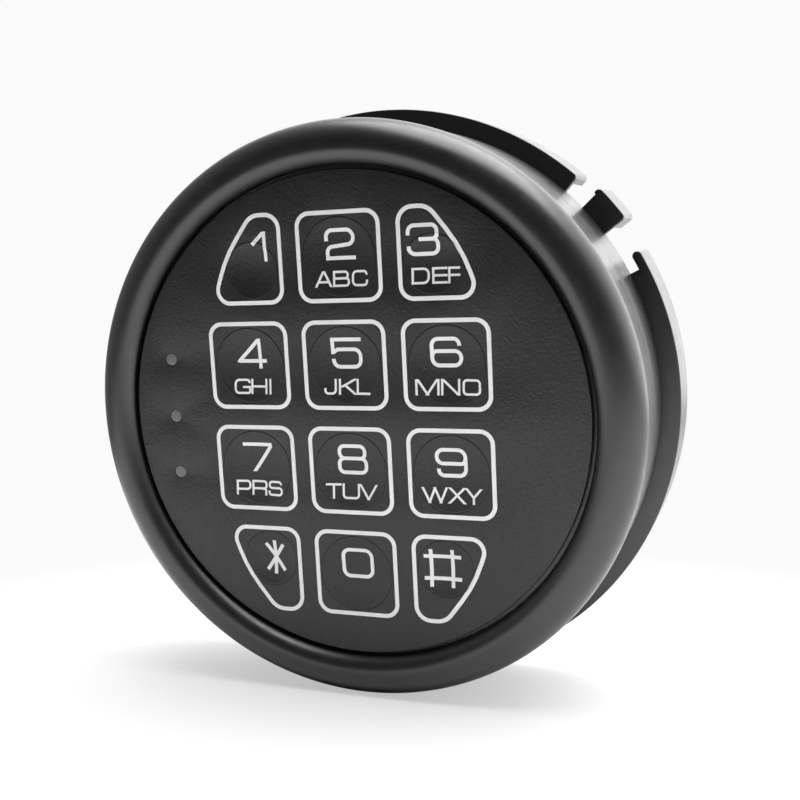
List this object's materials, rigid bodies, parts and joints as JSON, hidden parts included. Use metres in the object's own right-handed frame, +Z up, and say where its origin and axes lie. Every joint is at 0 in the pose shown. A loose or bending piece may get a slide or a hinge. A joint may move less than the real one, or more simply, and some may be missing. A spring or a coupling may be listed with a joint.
{
  "type": "electronic safe lock keypad",
  "caption": "Round keypad entry unit of an electronic safe lock: a cast drum with dished press keys and status lights that pulls off a base screwed to the door.",
  "frame": {"origin": "centre of the flat back of the base, on the axis of the drum, where it lies on the door", "axes": "+Y into the door along the drum's axis, +Z up on the door, the keys face -Y"},
  "size_m": [0.1086, 0.0341, 0.1086],
  "materials": {
    "drum_black": "satin black coating on zinc casting",
    "base_black": "satin black coating on zinc casting",
    "face_black": "fine leather grain",
    "key_black": "fine leather grain, shallow dish",
    "light_window": "smoked translucent",
    "mat_rubber": "matt",
    "dome_steel": "polished",
    "board_green": "solder mask",
    "lamp_resin": "clear resin",
    "screw_steel": "zinc plated",
    "socket_plastic": "moulded",
    "contact_brass": "plated",
    "chip_resin": "moulded",
    "buzzer_plastic": "moulded",
    "capacitor_can": "bright can",
    "tray_plastic": "moulded",
    "battery_can": "wrapped steel can",
    "connector_plastic": "moulded",
    "spring_steel": "tempered"
  },
  "bodies": {
    "base": {"mounting_base": "base_black", "retaining_clips": "spring_steel"},
    "keypad": {"housing": "drum_black", "face_overlay": "face_black", "light_window_top": "light_window", "light_window_middle": "light_window", "light_window_bottom": "light_window", "key_mat": "mat_rubber", "snap_domes": "dome_steel", "circuit_board": "board_green", "status_leds": "lamp_resin", "board_screws": "screw_steel", "tray_screws": "screw_steel", "cable_socket": "socket_plastic", "socket_contacts": "contact_brass", "controller_chip": "chip_resin", "buzzer": "buzzer_plastic", "capacitor": "capacitor_can", "battery_tray": "tray_plastic", "battery": "battery_can", "battery_connector": "connector_plastic", "connector_strips": "contact_brass"},
    "button_1": {"key_1": "key_black"},
    "button_2": {"key_2": "key_black"},
    "button_3": {"key_3": "key_black"},
    "button_4": {"key_4": "key_black"},
    "button_5": {"key_5": "key_black"},
    "button_6": {"key_6": "key_black"},
    "button_7": {"key_7": "key_black"},
    "button_8": {"key_8": "key_black"},
    "button_9": {"key_9": "key_black"},
    "button_star": {"key_star": "key_black"},
    "button_0": {"key_0": "key_black"},
    "button_hash": {"key_hash": "key_black"}
  },
  "joints": [
    {"name": "keypad_pull", "type": "slide", "parent": "base", "child": "keypad", "axis": [0, -1, 0], "range_m": [0, 0.012]},
    {"name": "press_1", "type": "slide", "parent": "keypad", "child": "button_1", "axis": [0, 1, 0], "range_m": [0, 0.0005], "stiffness_N_per_m": 1500, "springref_m": -0.0006},
    {"name": "press_2", "type": "slide", "parent": "keypad", "child": "button_2", "axis": [0, 1, 0], "range_m": [0, 0.0005], "stiffness_N_per_m": 1500, "springref_m": -0.0006},
    {"name": "press_3", "type": "slide", "parent": "keypad", "child": "button_3", "axis": [0, 1, 0], "range_m": [0, 0.0005], "stiffness_N_per_m": 1500, "springref_m": -0.0006},
    {"name": "press_4", "type": "slide", "parent": "keypad", "child": "button_4", "axis": [0, 1, 0], "range_m": [0, 0.0005], "stiffness_N_per_m": 1500, "springref_m": -0.0006},
    {"name": "press_5", "type": "slide", "parent": "keypad", "child": "button_5", "axis": [0, 1, 0], "range_m": [0, 0.0005], "stiffness_N_per_m": 1500, "springref_m": -0.0006},
    {"name": "press_6", "type": "slide", "parent": "keypad", "child": "button_6", "axis": [0, 1, 0], "range_m": [0, 0.0005], "stiffness_N_per_m": 1500, "springref_m": -0.0006},
    {"name": "press_7", "type": "slide", "parent": "keypad", "child": "button_7", "axis": [0, 1, 0], "range_m": [0, 0.0005], "stiffness_N_per_m": 1500, "springref_m": -0.0006},
    {"name": "press_8", "type": "slide", "parent": "keypad", "child": "button_8", "axis": [0, 1, 0], "range_m": [0, 0.0005], "stiffness_N_per_m": 1500, "springref_m": -0.0006},
    {"name": "press_9", "type": "slide", "parent": "keypad", "child": "button_9", "axis": [0, 1, 0], "range_m": [0, 0.0005], "stiffness_N_per_m": 1500, "springref_m": -0.0006},
    {"name": "press_star", "type": "slide", "parent": "keypad", "child": "button_star", "axis": [0, 1, 0], "range_m": [0, 0.0005], "stiffness_N_per_m": 1500, "springref_m": -0.0006},
    {"name": "press_0", "type": "slide", "parent": "keypad", "child": "button_0", "axis": [0, 1, 0], "range_m": [0, 0.0005], "stiffness_N_per_m": 1500, "springref_m": -0.0006},
    {"name": "press_hash", "type": "slide", "parent": "keypad", "child": "button_hash", "axis": [0, 1, 0], "range_m": [0, 0.0005], "stiffness_N_per_m": 1500, "springref_m": -0.0006}
  ]
}
